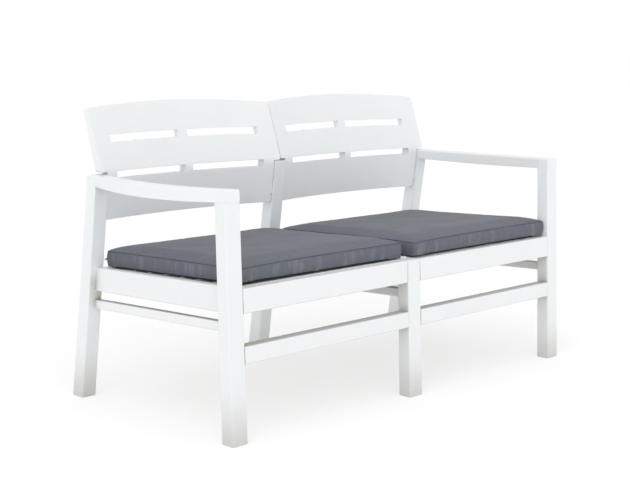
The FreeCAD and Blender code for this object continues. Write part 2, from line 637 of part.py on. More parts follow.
FRONT_LEG_X = {
    "left": (-HALF_WIDTH, -HALF_WIDTH + FRONT_LEG_WIDTH),
    "middle": (-MIDDLE_LEG_WIDTH / 2, MIDDLE_LEG_WIDTH / 2),
    "right": (HALF_WIDTH - FRONT_LEG_WIDTH, HALF_WIDTH),
}
POST_X = {
    "left": (-HALF_WIDTH, -HALF_WIDTH + POST_WIDTH),
    "middle": (-POST_WIDTH / 2, POST_WIDTH / 2),
    "right": (HALF_WIDTH - POST_WIDTH, HALF_WIDTH),
}
PEG_INSET = 9.0


def arm_peg(x_range, grow=0.0):
    """The peg on a front leg's top that the armrest drops over."""
    front = front_face_y(ARM_SEAT_HEIGHT) + PEG_INSET
    rear = front_leg_back_y(ARM_SEAT_HEIGHT) - PEG_INSET
    return box((x_range[0] + PEG_INSET - grow, front - grow, ARM_SEAT_HEIGHT - 2),
               (x_range[1] - PEG_INSET + grow, rear + grow, ARM_SEAT_HEIGHT + ARM_PEG + grow))


def arm_screw_spot(side):
    """Inside the hollow leg, under its solid top: the screw is driven up from the foot."""
    middle_y = (front_face_y(ARM_SEAT_HEIGHT) + front_leg_back_y(ARM_SEAT_HEIGHT)) / 2
    return Vector(SIDES[side] * (HALF_WIDTH - FRONT_LEG_WIDTH / 2), middle_y, ARM_SEAT_HEIGHT - LEG_CAP)


ARM_SCREW_LENGTH = LEG_CAP + ARM_PEG + ARM_SCREW_BITE
UPWARDS = Vector(0, 0, 1)
arm_screws = []
for side, x_range in FRONT_LEG_X.items():
    height = RAIL_TOP if side == "middle" else ARM_SEAT_HEIGHT
    solid = leg(*x_range, height, front_face_y, front_leg_back_y)
    if side in SIDES:
        solid = solid.fuse(arm_peg(x_range))
        arm_screws.append(screw(arm_screw_spot(side), UPWARDS, ARM_SCREW_LENGTH))
        solid = solid.cut(screw_hole(arm_screw_spot(side), UPWARDS, ARM_SCREW_LENGTH))
    export("front_leg_" + side, with_mortises(solid))

export("rear_leg_middle", with_mortises(leg(*POST_X["middle"], POST_HEIGHT, post_front_y, post_back_y)))


# ---- armrests, each moulded in one with its rear leg -----------------------------------------

ARM_UNDERSIDE_REAR = POST_HEIGHT - ARM_REAR_HEIGHT


def arm_plan():
    """The armrest seen from above: two arcs that bow outwards."""
    z = 0
    front, rear = -BENCH_DEPTH / 2, BENCH_DEPTH / 2
    bow_front, bow_rear = front_leg_back_y(ARM_SEAT_HEIGHT) - 6, post_front_y(ARM_SEAT_HEIGHT)
    middle = (bow_front + bow_rear) / 2
    outer, inner, inner_rear = HALF_WIDTH, FRONT_BAY[1], REAR_BAY[1]
    bowed = (inner + inner_rear) / 2 + ARM_BOW
    wire = [
        line(Vector(outer, front, z), Vector(outer, bow_front, z)),
        arc(Vector(outer, bow_front, z), Vector(outer + ARM_BOW, middle, z), Vector(outer, bow_rear, z)),
        line(Vector(outer, bow_rear, z), Vector(outer, rear, z)),
        line(Vector(outer, rear, z), Vector(inner_rear, rear, z)),
        line(Vector(inner_rear, rear, z), Vector(inner_rear, bow_rear, z)),
        arc(Vector(inner_rear, bow_rear, z), Vector(bowed, middle, z), Vector(inner, bow_front, z)),
        line(Vector(inner, bow_front, z), Vector(inner, front, z)),
        line(Vector(inner, front, z), Vector(outer, front, z)),
    ]
    return Part.Face(Part.Wire(wire)).extrude(Vector(0, 0, BACK_TOP))


def arm_side():
    """The armrest seen from the side: a dipped top and a slight belly."""
    x = HALF_WIDTH - 150
    seat, top = ARM_SEAT_HEIGHT, ARM_SEAT_HEIGHT + ARM_FRONT_HEIGHT
    middle_y = (front_face_y(seat) + post_front_y(seat)) / 2
    p0 = Vector(x, front_face_y(seat), seat)
    p1 = Vector(x, front_leg_back_y(seat), seat)
    p2 = Vector(x, post_front_y(ARM_UNDERSIDE_REAR), ARM_UNDERSIDE_REAR)
    p3 = Vector(x, post_back_y(ARM_UNDERSIDE_REAR), ARM_UNDERSIDE_REAR)
    p4 = Vector(x, post_back_y(POST_HEIGHT), POST_HEIGHT)
    p5 = Vector(x, front_face_y(top), top)
    belly = Vector(x, middle_y, (seat + ARM_UNDERSIDE_REAR) / 2 - ARM_BELLY)
    dip = Vector(x, middle_y, (top + POST_HEIGHT) / 2 - ARM_TOP_DIP)
    wire = [line(p0, p1), arc(p1, belly, p2), line(p2, p3), line(p3, p4), arc(p4, dip, p5), line(p5, p0)]
    return Part.Face(Part.Wire(wire)).extrude(Vector(300, 0, 0))


def armrest_and_post():
    arm = arm_plan().common(arm_side())
    top = max(arm.Faces, key=lambda face: face.CenterOfMass.z)
    top_edges = [edge for edge in top.Edges if edge.Length > 20]
    arm = arm.makeFillet(ARM_EDGE_RADIUS, top_edges)
    post = leg(*POST_X["right"], ARM_UNDERSIDE_REAR + 8, post_front_y, post_back_y)
    return arm.fuse(post).removeSplitter()


ARM_LEG = armrest_and_post()
for side, sign in SIDES.items():
    solid = ARM_LEG if sign > 0 else mirrored(ARM_LEG)
    solid = solid.cut(arm_peg(FRONT_LEG_X[side], grow=TENON_FIT))
    solid = solid.cut(screw_hole(arm_screw_spot(side), UPWARDS, ARM_SCREW_LENGTH))
    export("armrest_and_rear_leg_" + side, with_mortises(solid))

plugs = [plug(*x_range, front_face_y, front_leg_back_y) for x_range in FRONT_LEG_X.values()]
plugs += [plug(*x_range, post_front_y, post_back_y) for x_range in POST_X.values()]
export("foot_plugs", Part.makeCompound(plugs))


# ---- screws, one node for each kind of joint --------------------------------------------------

export("side_bar_screws", Part.makeCompound(side_screws))
export("back_panel_screws", Part.makeCompound(back_screws))
export("seat_panel_screws", Part.makeCompound(seat_screws))
export("armrest_screws", Part.makeCompound(arm_screws))


# ---- cushions: plain closed solids that lie on the seat panels ---------------------------------

CUSHION_BAY = min(FRONT_BAY[1], HALF_WIDTH - SIDE_INSET - APRON_THICKNESS)
CUSHION_WIDTH = CUSHION_BAY - CUSHION_PLAY[0]
CUSHION_DEPTH = post_front_y(RAIL_TOP) - front_face_y(RAIL_TOP) - CUSHION_PLAY[1]


def corner_past_post(x_high, y_high):
    """Radius of a rear corner whose arc passes clear of the middle post's front edge."""
    beside = x_high + POST_WIDTH / 2 + CUSHION_POST_GAP
    behind = y_high - post_front_y(seat_z(y_high) + CUSHION_THICKNESS) + CUSHION_POST_GAP
    return beside + behind + (2 * beside * behind) ** 0.5


def cushion(x_low, y_low, past_post):
    """The corner at the low ends of X and Y, and whether the other rear corner meets the post."""
    x_high, y_high = x_low + CUSHION_WIDTH, y_low + CUSHION_DEPTH
    post_side_corner = corner_past_post(x_high, y_high) if past_post else CUSHION_REAR_CORNER
    top_lift = CUSHION_LIFT + CUSHION_THICKNESS
    corners = [(y_low, seat_z(y_low) + CUSHION_LIFT), (y_low, seat_z(y_low) + top_lift),
               (y_high, seat_z(y_high) + top_lift), (y_high, seat_z(y_high) + CUSHION_LIFT)]
    block = plate(corners, x_low, x_high)
    middle_x, middle_y = (x_low + x_high) / 2, (y_low + y_high) / 2
    for radius, right, rear in ((CUSHION_FRONT_CORNER, False, False), (CUSHION_FRONT_CORNER, True, False),
                                (CUSHION_REAR_CORNER, False, True), (post_side_corner, True, True)):
        upright = [edge for edge in block.Edges if edge.BoundBox.XLength + edge.BoundBox.YLength < 0.01
                   and (edge.CenterOfMass.x > middle_x) == right
                   and (edge.CenterOfMass.y > middle_y) == rear]
        block = block.makeFillet(radius, upright)
    top = max(block.Faces, key=lambda face: face.CenterOfMass.z)
    block = block.makeFillet(CUSHION_EDGE, top.Edges)
    bottom_edges = [edge for edge in block.Edges
                    if all(abs(v.Z - seat_z(v.Y) - CUSHION_LIFT) < 0.01 for v in edge.Vertexes)]
    return block.makeFillet(CUSHION_EDGE / 2, bottom_edges)


FRONT_Y = front_face_y(RAIL_TOP)
export("cushion_left", cushion(-CUSHION_BAY + LEFT_CUSHION_PLACE[0], FRONT_Y + LEFT_CUSHION_PLACE[1], True))
export("cushion_right", cushion(CUSHION_BAY - RIGHT_CUSHION_PLACE[0] - CUSHION_WIDTH,
                                FRONT_Y + RIGHT_CUSHION_PLACE[1], False))
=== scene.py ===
from math import cos, exp, hypot, pi, radians, sin

import bmesh
import bpy
from mathutils import Matrix, Vector, noise
from mathutils.bvhtree import BVHTree


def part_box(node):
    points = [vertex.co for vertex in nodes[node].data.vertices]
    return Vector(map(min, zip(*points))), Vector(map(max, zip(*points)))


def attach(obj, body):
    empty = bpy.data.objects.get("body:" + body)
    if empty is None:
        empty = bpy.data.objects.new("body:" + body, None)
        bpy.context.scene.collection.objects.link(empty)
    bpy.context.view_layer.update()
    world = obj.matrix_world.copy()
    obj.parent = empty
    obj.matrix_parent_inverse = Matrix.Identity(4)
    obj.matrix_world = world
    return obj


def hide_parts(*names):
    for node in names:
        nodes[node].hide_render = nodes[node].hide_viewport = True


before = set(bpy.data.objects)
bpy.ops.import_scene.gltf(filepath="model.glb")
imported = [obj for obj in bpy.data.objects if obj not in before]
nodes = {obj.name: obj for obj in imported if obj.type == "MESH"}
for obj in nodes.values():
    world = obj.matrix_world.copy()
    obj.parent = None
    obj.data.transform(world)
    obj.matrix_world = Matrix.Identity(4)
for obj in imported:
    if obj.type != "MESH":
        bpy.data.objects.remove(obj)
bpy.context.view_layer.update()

scene = bpy.context.scene


# ---- camera ---------------------------------------------------------------------------------
# A short telephoto lens a little above arm height, off the bench's left front corner. It looks
# at the bench from 3.7 m, as a catalogue picture of garden furniture does.

turn, tilt, roll = radians(-44.172), radians(8.7505), radians(-0.207)
towards_camera = Vector((sin(turn) * cos(tilt), -cos(turn) * cos(tilt), sin(tilt)))
level_right = (-towards_camera).cross(Vector((0, 0, 1))).normalized()
level_up = level_right.cross(-towards_camera)
right = level_right * cos(roll) + level_up * sin(roll)
up = level_up * cos(roll) - level_right * sin(roll)
eye = Vector((-2.5525, -2.5703, 0.9290))

lens = bpy.data.cameras.new("camera")
lens.sensor_width = 36.0
lens.lens = 71.91
lens.clip_end = 60.0
camera = bpy.data.objects.new("camera", lens)
camera.matrix_world = Matrix((right, up, towards_camera)).transposed().to_4x4()
camera.location = eye
scene.collection.objects.link(camera)
scene.camera = camera


# ---- studio ---------------------------------------------------------------------------------
# A seamless white sweep: a matt painted floor that fades into a white room, a large soft box
# high on the left and a weaker one in front. It is no part of the bench.

def linear(code):
    """A hex sRGB colour as the linear values that a shader takes."""
    parts = [int(code[i:i + 2], 16) / 255 for i in (1, 3, 5)]
    return [c / 12.92 if c <= 0.04045 else ((c + 0.055) / 1.055) ** 2.4 for c in parts] + [1.0]


def add_node(tree, kind, settings=None, **links):
    """Adds one node. An input is a number, a colour or another node's output."""
    node = tree.nodes.new(kind)
    for key, value in (settings or {}).items():
        setattr(node, key, value)
    for key, value in links.items():
        socket = node.inputs[int(key[1:])] if key[1:].isdigit() else node.inputs[key.replace("_", " ")]
        if isinstance(value, bpy.types.NodeSocket):
            tree.links.new(value, socket)
        else:
            socket.default_value = value
    return node


def new_material(name):
    """An empty node material and its output node."""
    material = bpy.data.materials.new(name)
    material.use_nodes = True
    material.node_tree.nodes.clear()
    return material, material.node_tree, material.node_tree.nodes.new("ShaderNodeOutputMaterial")


def new_object(name, shape):
    """The finished bmesh as an object in the scene, at the origin."""
    mesh = bpy.data.meshes.new(name)
    shape.to_mesh(mesh)
    shape.free()
    made = bpy.data.objects.new(name, mesh)
    scene.collection.objects.link(made)
    return made


floor_paint, tree, out = new_material("matt_white_floor_paint")
place = add_node(tree, "ShaderNodeTexCoord")
mottle = add_node(tree, "ShaderNodeTexNoise", Vector=place.outputs["Object"], Scale=3.0, Detail=3.0)
tone = add_node(tree, "ShaderNodeMixRGB", Fac=mottle.outputs["Fac"], Color1=linear("#F6F6F6"),
                Color2=linear("#F9F9F9"))
paint = add_node(tree, "ShaderNodeBsdfDiffuse", Color=tone.outputs["Color"], Roughness=0.9)
glow = add_node(tree, "ShaderNodeEmission", Color=linear("#FFFFFF"), Strength=1.0)
lit_paint = add_node(tree, "ShaderNodeMixShader", _0=0.62, _1=paint.outputs["BSDF"],
                     _2=glow.outputs["Emission"])
tree.links.new(lit_paint.outputs["Shader"], out.inputs["Surface"])

shape = bmesh.new()
bmesh.ops.create_circle(shape, cap_ends=True, segments=96, radius=14.0)
floor = new_object("studio_floor", shape)
floor.data.materials.append(floor_paint)

room = bpy.data.worlds.new("white_room")
room.use_nodes = True
room.node_tree.nodes["Background"].inputs["Color"].default_value = (1.0, 1.0, 1.0, 1.0)
room.node_tree.nodes["Background"].inputs["Strength"].default_value = 1.0
scene.world = room
scene.view_settings.view_transform = "Standard"

for name, spot, size, power in (("soft_box_high", (-1.6, -1.2, 3.4), 2.6, 12.0),
                                ("soft_box_front", (0.6, -4.2, 1.3), 2.6, 3.5)):
    lamp = bpy.data.lights.new(name, "AREA")
    lamp.size = size
    lamp.energy = power
    lamp_object = bpy.data.objects.new(name, lamp)
    lamp_object.location = spot
    aim = Vector((0, 0, 0.4)) - Vector(spot)
    lamp_object.rotation_euler = aim.to_track_quat("-Z", "Y").to_euler()
    scene.collection.objects.link(lamp_object)
wash = bpy.data.lights.new("low_window_wash", "SUN")
wash.angle = radians(50)
wash.energy = 0.5
wash_object = bpy.data.objects.new("low_window_wash", wash)
wash_object.rotation_euler = Vector((1.0, 0.9, -0.30)).to_track_quat("-Z", "Y").to_euler()
scene.collection.objects.link(wash_object)


# ---- white mouldings -------------------------------------------------------------------------
# Legs, rails, aprons, bars, seat panels, armrests and backs are injection-moulded polypropylene,
# coloured white right through. The tool is spark-eroded, so the skin is satin and finely pitted;
# edges come out of the tool softly rounded and polish a little where hands and clothes rub.

polypropylene, tree, out = new_material("white_moulded_polypropylene")
place = add_node(tree, "ShaderNodeTexCoord")
flow = add_node(tree, "ShaderNodeTexNoise", Vector=place.outputs["Object"], Scale=9.0, Detail=2.0)
body_colour = add_node(tree, "ShaderNodeMixRGB", Fac=flow.outputs["Fac"], Color1=linear("#E2E5E7"),
                       Color2=linear("#E8EAEB"))
edge = add_node(tree, "ShaderNodeBevel", {"samples": 6}, Radius=0.0016)
face = add_node(tree, "ShaderNodeNewGeometry")
on_face = add_node(tree, "ShaderNodeVectorMath", {"operation": "DOT_PRODUCT"}, _0=edge.outputs["Normal"],
                   _1=face.outputs["Normal"])
rub = add_node(tree, "ShaderNodeMapRange", Value=on_face.outputs["Value"], From_Min=0.80, From_Max=1.0,
               To_Min=1.0, To_Max=0.0)
colour = add_node(tree, "ShaderNodeMixRGB", Fac=rub.outputs["Result"], Color1=body_colour.outputs["Color"],
                  Color2=linear("#EEF0F0"))
# Painted shade: undersides, and the occluded faces below the seat, are mixed towards a darker warm grey.
facing = add_node(tree, "ShaderNodeSeparateXYZ", Vector=face.outputs["Normal"])
under = add_node(tree, "ShaderNodeMapRange", Value=facing.outputs["Z"], From_Min=-0.9, From_Max=-0.4,
                 To_Min=0.75, To_Max=0.0)
occlusion = add_node(tree, "ShaderNodeAmbientOcclusion", {"samples": 6}, Distance=0.22)
occluded_shade = add_node(tree, "ShaderNodeMapRange", Value=occlusion.outputs["AO"], From_Min=0.42, From_Max=0.78,
                     To_Min=0.85, To_Max=0.0)
height = add_node(tree, "ShaderNodeSeparateXYZ", Vector=place.outputs["Object"])
below_seat = add_node(tree, "ShaderNodeMapRange", Value=height.outputs["Z"], From_Min=0.33, From_Max=0.37,
                      To_Min=1.0, To_Max=0.0)
low_painted_shade = add_node(tree, "ShaderNodeMath", {"operation": "MULTIPLY"}, _0=occluded_shade.outputs["Result"],
                    _1=below_seat.outputs["Result"])
painted_shade = add_node(tree, "ShaderNodeMath", {"operation": "MAXIMUM"}, _0=under.outputs["Result"],
                _1=low_painted_shade.outputs["Value"])
# Painted shade: undersides and occluded faces below the seat take a darker warm grey.
painted_shade_colour = add_node(tree, "ShaderNodeMixRGB", Fac=painted_shade.outputs["Value"], Color1=colour.outputs["Color"],
                 Color2=linear("#A9A699"))
# The eroded skin's pits are 0.3 mm apart; they are drawn 1.2 mm apart so that they show.
pits = add_node(tree, "ShaderNodeTexNoise", Vector=place.outputs["Object"], Scale=1 / 0.0012, Detail=2.0)
sheen_patches = add_node(tree, "ShaderNodeTexNoise", Vector=place.outputs["Object"], Scale=1 / 0.045,
                         Detail=3.0)
gloss = add_node(tree, "ShaderNodeMapRange", Value=sheen_patches.outputs["Fac"], From_Min=0.3,
                 From_Max=0.7, To_Min=0.36, To_Max=0.46)
worn_gloss = add_node(tree, "ShaderNodeMath", {"operation": "MULTIPLY_ADD"}, _0=rub.outputs["Result"],
                      _1=-0.08, _2=gloss.outputs["Result"])
# Long, very shallow waves are left by uneven shrinkage over the ribs.
waves = add_node(tree, "ShaderNodeTexNoise", Vector=place.outputs["Object"], Scale=1 / 0.07, Detail=1.0)
wavy = add_node(tree, "ShaderNodeBump", Height=waves.outputs["Fac"], Distance=0.0006, Strength=0.35,
                Normal=edge.outputs["Normal"])
skin = add_node(tree, "ShaderNodeBump", Height=pits.outputs["Fac"], Distance=0.0001, Strength=0.5,
                Normal=wavy.outputs["Normal"])
plastic = add_node(tree, "ShaderNodeBsdfPrincipled", Base_Color=painted_shade_colour.outputs["Color"],
                   Roughness=worn_gloss.outputs["Value"], IOR=1.49, Normal=skin.outputs["Normal"])
tree.links.new(plastic.outputs["BSDF"], out.inputs["Surface"])

mouldings = ("front_leg_", "rear_leg_", "armrest_and_rear_leg_", "front_rail_", "front_stretcher_",
             "rear_rail_", "side_apron_", "side_bar_left", "side_bar_middle", "side_bar_right",
             "seat_panel_left", "seat_panel_right", "back_panel_left", "back_panel_right")
for name, node in nodes.items():
    if name.startswith(mouldings):
        node.material_slots[0].material = polypropylene


# ---- foot plugs ------------------------------------------------------------------------------
# A polyethylene cap is pressed into the open foot of each leg. It is softer and duller than the
# legs, and its sole is scuffed grey by paving.

polyethylene, tree, out = new_material("pale_grey_polyethylene")
place = add_node(tree, "ShaderNodeTexCoord")
scuffs = add_node(tree, "ShaderNodeTexNoise", Vector=place.outputs["Object"], Scale=1 / 0.006, Detail=6.0)
spread = add_node(tree, "ShaderNodeMapRange", Value=scuffs.outputs["Fac"], From_Min=0.45, From_Max=0.7)
colour = add_node(tree, "ShaderNodeMixRGB", Fac=spread.outputs["Result"], Color1=linear("#DADCDD"),
                  Color2=linear("#A9ABAC"))
dents = add_node(tree, "ShaderNodeBump", Height=scuffs.outputs["Fac"], Distance=0.0003, Strength=0.6)
cap = add_node(tree, "ShaderNodeBsdfPrincipled", Base_Color=colour.outputs["Color"], Roughness=0.62,
               IOR=1.51, Normal=dents.outputs["Normal"])
tree.links.new(cap.outputs["BSDF"], out.inputs["Surface"])
nodes["foot_plugs"].material_slots[0].material = polyethylene


# ---- screws ----------------------------------------------------------------------------------
# Pan-head screws of zinc-plated steel are driven from the hidden faces and lock every tenon.
# Plating leaves a pale, slightly blue metal with cloudy patches.

zinc, tree, out = new_material("zinc_plated_steel")
place = add_node(tree, "ShaderNodeTexCoord")
clouds = add_node(tree, "ShaderNodeTexNoise", Vector=place.outputs["Object"], Scale=1 / 0.002, Detail=4.0)
colour = add_node(tree, "ShaderNodeMixRGB", Fac=clouds.outputs["Fac"], Color1=linear("#B9BCC2"),
                  Color2=linear("#D6D7D6"))
gloss = add_node(tree, "ShaderNodeMapRange", Value=clouds.outputs["Fac"], From_Min=0.3, From_Max=0.7,
                 To_Min=0.24, To_Max=0.42)
grain = add_node(tree, "ShaderNodeBump", Height=clouds.outputs["Fac"], Distance=0.00005, Strength=0.5)
plated = add_node(tree, "ShaderNodeBsdfPrincipled", Base_Color=colour.outputs["Color"], Metallic=1.0,
                  Roughness=gloss.outputs["Result"], Normal=grain.outputs["Normal"])
tree.links.new(plated.outputs["BSDF"], out.inputs["Surface"])
for name in ("side_bar_screws", "back_panel_screws", "seat_panel_screws", "armrest_screws"):
    nodes[name].material_slots[0].material = zinc


# ---- seat cushions ---------------------------------------------------------------------------
# Two foam pads in sewn covers of coated polyester. Each cover is a top and a bottom panel joined
# by a boxing strip, with a narrow taped lip at the top seam. The foam crowns the top, draws the
# sides in between the corners, and the seam thread gathers the boxing into small puckers.

SEAT_FALL = 0.032              # the seat drops this much per metre towards the back
CELL = 0.0078                  # spacing of the cover's mesh before it is subdivided
BOTTOM_SEAM, TOP_SEAM = 0.0038, 0.0455
CROWN = 0.0115
FRONT_CORNER, REAR_CORNER, POST_CORNER = 0.007, 0.014, 0.048
SIDE_DRAW, FRONT_DRAW = 0.0035, 0.0025
BOXING_ROWS = 7
BOXING_BULGE = 0.0030
PUCKER_LENGTH = 0.024          # from one gather of the boxing to the next
SETTLING_REACH, CURL_REACH = 0.11, 0.15         # how far these die away from a corner
WELT_RADIUS = {"top": 0.0009, "bottom": 0.0012}
SIMULATED_FRAMES = 20
PINNED, SEAM, BOXING = 0, 1, 2
# How far each cushion's top seam has settled at its two front corners, and its underside curled up.
SETTLED = {"left": (-0.005, -0.0025), "right": (-0.0055, 0.001)}
CURLED = {"left": 0.0045, "right": 0.0005}


def to_plan(x, y, half_x, half_y, post_corner):
    """Takes a point of a rectangle to the cushion's plan: round corners and drawn-in sides."""
    radius = FRONT_CORNER if y < 0 else post_corner if x > 0 else REAR_CORNER
    a, b = (abs(x) - half_x + radius) / radius, (abs(y) - half_y + radius) / radius
    if a > 0 and b > 0:
        a, b = a * (1 - b * b / 2) ** 0.5, b * (1 - a * a / 2) ** 0.5
        x = (half_x - radius + a * radius) * (1 if x > 0 else -1)
        y = (half_y - radius + b * radius) * (1 if y > 0 else -1)
    u, v = x / half_x, y / half_y
    return x - SIDE_DRAW * u ** 3 * (1 - v * v), y - FRONT_DRAW * v ** 3 * (1 - u * u)


def seam_height(x, y, half_x, half_y, settled):
    """Height of the top seam over the seat at a point of the plan."""
    return TOP_SEAM + sum(drop * exp(-hypot(x - end * half_x, y + half_y) / SETTLING_REACH)
                          for end, drop in zip((-1, 1), settled))


def sewn_cover(half_x, half_y, post_corner, settled, curled):
    """The cover, flat-based, with a UV in metres and its two seams and boxing as vertex groups."""
    shape = bmesh.new()
    uv = shape.loops.layers.uv.new("cloth")
    held = shape.verts.layers.deform.verify()
    bmesh.ops.create_grid(shape, x_segments=round(2 * half_x / CELL), y_segments=round(2 * half_y / CELL),
                          size=1.0)
    bmesh.ops.scale(shape, vec=(half_x, half_y, 1.0), verts=shape.verts)
    for corner in [corner for face in shape.faces for corner in face.loops]:
        corner[uv].uv = corner.vert.co.xy
    under = bmesh.ops.duplicate(shape, geom=shape.verts[:] + shape.edges[:] + shape.faces[:])["geom"]
    under_points = {part for part in under if isinstance(part, bmesh.types.BMVert)}
    for point in shape.verts:
        inwards = min(half_x - abs(point.co.x), half_y - abs(point.co.y))
        point.co.xy = to_plan(point.co.x, point.co.y, half_x, half_y, post_corner)
        curl = curled * exp(-hypot(point.co.x + half_x, point.co.y + half_y) / CURL_REACH)
        if point in under_points:
            point.co.z = (BOTTOM_SEAM + curl) * exp(-inwards / 0.007)
            point[held][PINNED] = 1.0
        else:
            seam = seam_height(point.co.x, point.co.y, half_x, half_y, settled)
            level = 1 - exp(-inwards / 0.07)
            shoulder = 1 - exp(-inwards / 0.012)
            cornered = 1 - 0.45 * exp(-hypot(half_x - abs(point.co.x), half_y - abs(point.co.y)) / 0.045)
            crown = CROWN * cornered * (0.86 * shoulder + 0.14 * level)
            point.co.z = seam * (1 - level) + TOP_SEAM * level + crown
            point[held][PINNED] = 0.96 if inwards < 1e-6 else 0.0
            point[held][SEAM] = 1.0 if inwards < 1e-6 else 0.0
    ring = [edge for edge in shape.edges if edge.is_boundary and edge.verts[0] not in under_points]
    for row in range(BOXING_ROWS):
        made = bmesh.ops.extrude_edge_only(shape, edges=ring)["geom"]
        points = [part for part in made if isinstance(part, bmesh.types.BMVert)]
        last = row == BOXING_ROWS - 1
        share = 1 - (row + 1) / BOXING_ROWS
        for point in points:
            seam = seam_height(point.co.x, point.co.y, half_x, half_y, settled)
            foot = BOTTOM_SEAM + curled * exp(-hypot(point.co.x + half_x, point.co.y + half_y) / CURL_REACH)
            point.co.z = foot + (seam - foot) * share
            point[held][PINNED] = 1.0 if last else 0.0
            point[held][SEAM] = 1.0 if last else 0.0
            point[held][BOXING] = 0.0 if last else 1.0
        ring = [part for part in made if isinstance(part, bmesh.types.BMEdge)
                and part.verts[0] in points and part.verts[1] in points]
        strips = [part for part in made if isinstance(part, bmesh.types.BMFace)]
        for corner in [corner for strip in strips for corner in strip.loops]:
            x, y = corner.vert.co.xy
            corner[uv].uv = (x if abs(y) / half_y > abs(x) / half_x else y, corner.vert.co.z)
        for point in points:
            out_way = Vector(((point.co.x / half_x) ** 15, (point.co.y / half_y) ** 15)).normalized()
            out_way *= BOXING_BULGE * (sin(pi * share) - (sin(pi * (share + 1 / BOXING_ROWS)) if row else 0))
            point.co.xy += out_way
    bmesh.ops.remove_doubles(shape, verts=shape.verts, dist=1e-5)
    bmesh.ops.recalc_face_normals(shape, faces=shape.faces)
    return shape


def relax(pad, most):
    """Blows the cover up a little over its foam and lets the slack cloth find its folds."""
    rest = [point.co.copy() for point in pad.data.vertices]
    cloth = pad.modifiers.new("cloth", "CLOTH")
    cloth.settings.quality = 5
    cloth.settings.mass = 0.25
    cloth.settings.tension_stiffness = cloth.settings.compression_stiffness = 18
    cloth.settings.shear_stiffness = 6
    cloth.settings.bending_stiffness = 0.35
    cloth.settings.use_pressure = True
    cloth.settings.uniform_pressure_force = 4.0
    cloth.settings.shrink_min = -0.004
    cloth.settings.vertex_group_mass = "pinned"
    cloth.settings.effector_weights.gravity = 0.0
    cloth.point_cache.frame_start, cloth.point_cache.frame_end = 1, SIMULATED_FRAMES
    for step in range(1, SIMULATED_FRAMES + 1):
        scene.frame_set(step)
    blown = pad.evaluated_get(bpy.context.evaluated_depsgraph_get()).data
    for point, was, now in zip(pad.data.vertices, rest, blown.vertices):
        move = now.co - was
        point.co = was + move * min(1.0, most / max(move.length, 1e-9))
    pad.modifiers.remove(cloth)
    scene.frame_set(1)


def subdivided(pad):
    """Replaces the mesh by its once-subdivided self and gives each point's vertex-group weights."""
    smooth = pad.modifiers.new("smooth", "SUBSURF")
    smooth.levels = smooth.render_levels = 1
    finer = bpy.data.meshes.new_from_object(pad.evaluated_get(bpy.context.evaluated_depsgraph_get()),
                                            preserve_all_data_layers=True,
                                            depsgraph=bpy.context.evaluated_depsgraph_get())
    pad.modifiers.remove(smooth)
    pad.data = finer
    return [{entry.group: entry.weight for entry in point.groups} for point in finer.vertices]


def seat_cushion(name, node, side, seed):
    """One cushion in its cover: settled on its foam, then gathered along the seams and the boxing."""
    low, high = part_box(node)
    middle_x, middle_y = (low.x + high.x) / 2, (low.y + high.y) / 2
    half_x, half_y = (high.x - low.x) / 2 - BOXING_BULGE, (high.y - low.y) / 2 - BOXING_BULGE
    settled = SETTLED[side]
    shape = sewn_cover(half_x, half_y, POST_CORNER if side == "left" else REAR_CORNER, settled, CURLED[side])
    foot = low.z + SEAT_FALL * (high.y - middle_y)
    for point in shape.verts:
        point.co += Vector((middle_x, middle_y, foot - SEAT_FALL * point.co.y))
    pad = new_object(name, shape)
    for group in ("pinned", "seam", "boxing"):
        pad.vertex_groups.new(name=group)
    relax(pad, 0.005)
    weights = subdivided(pad)
    mesh = pad.data
    for face in mesh.polygons:
        face.use_smooth = True
    shifts = []
    for point, weight in zip(mesh.vertices, weights):
        x, y = point.co.x - middle_x, point.co.y - middle_y
        below_seam = seam_height(x, y, half_x, half_y, settled) - (point.co.z - foot + SEAT_FALL * y)
        gather = noise.noise(Vector((point.co.x, point.co.y, seed)) / PUCKER_LENGTH)
        gather += 0.6 * noise.noise(Vector((point.co.x, point.co.y, seed + 9)) / (PUCKER_LENGTH * 0.45))
        slack = noise.noise(Vector((point.co.x * 3.1, point.co.y * 3.1, seed)))
        depth = 0.0
        if weight.get(BOXING, 0) > 0.4:
            pulled = 0.0052 if y < 0.01 - half_y else 0.0012
            depth = pulled * gather * exp(-abs(below_seam) / 0.026) * (0.75 + 0.9 * slack)
        elif below_seam < 0.002 and weight.get(SEAM, 0) < 0.4:
            depth = 0.0016 * gather * exp(-abs(below_seam) / 0.005)
            depth += 0.0011 * noise.noise(Vector((point.co.x / 0.13, point.co.y / 0.08, seed)))
            # Shallow folds fan out from the corners, where the cloth is drawn round the foam.
            for end, reach in ((-1, half_x), (1, half_x)):
                for way, span in ((-1, half_y), (1, half_y)):
                    across, along = x - end * reach, y - way * span
                    away = hypot(across, along)
                    fan = noise.noise(Vector((6.0 * along / (away + 0.01), end * 3.3, way * 5.1 + seed)))
                    depth += 0.0013 * fan * exp(-away / 0.13)
        shifts.append(point.normal * depth)
    for point, shift in zip(mesh.vertices, shifts):
        point.co += shift
        point.co.x = min(max(point.co.x, low.x), high.x)
        point.co.y = min(max(point.co.y, low.y), high.y)
    return pad


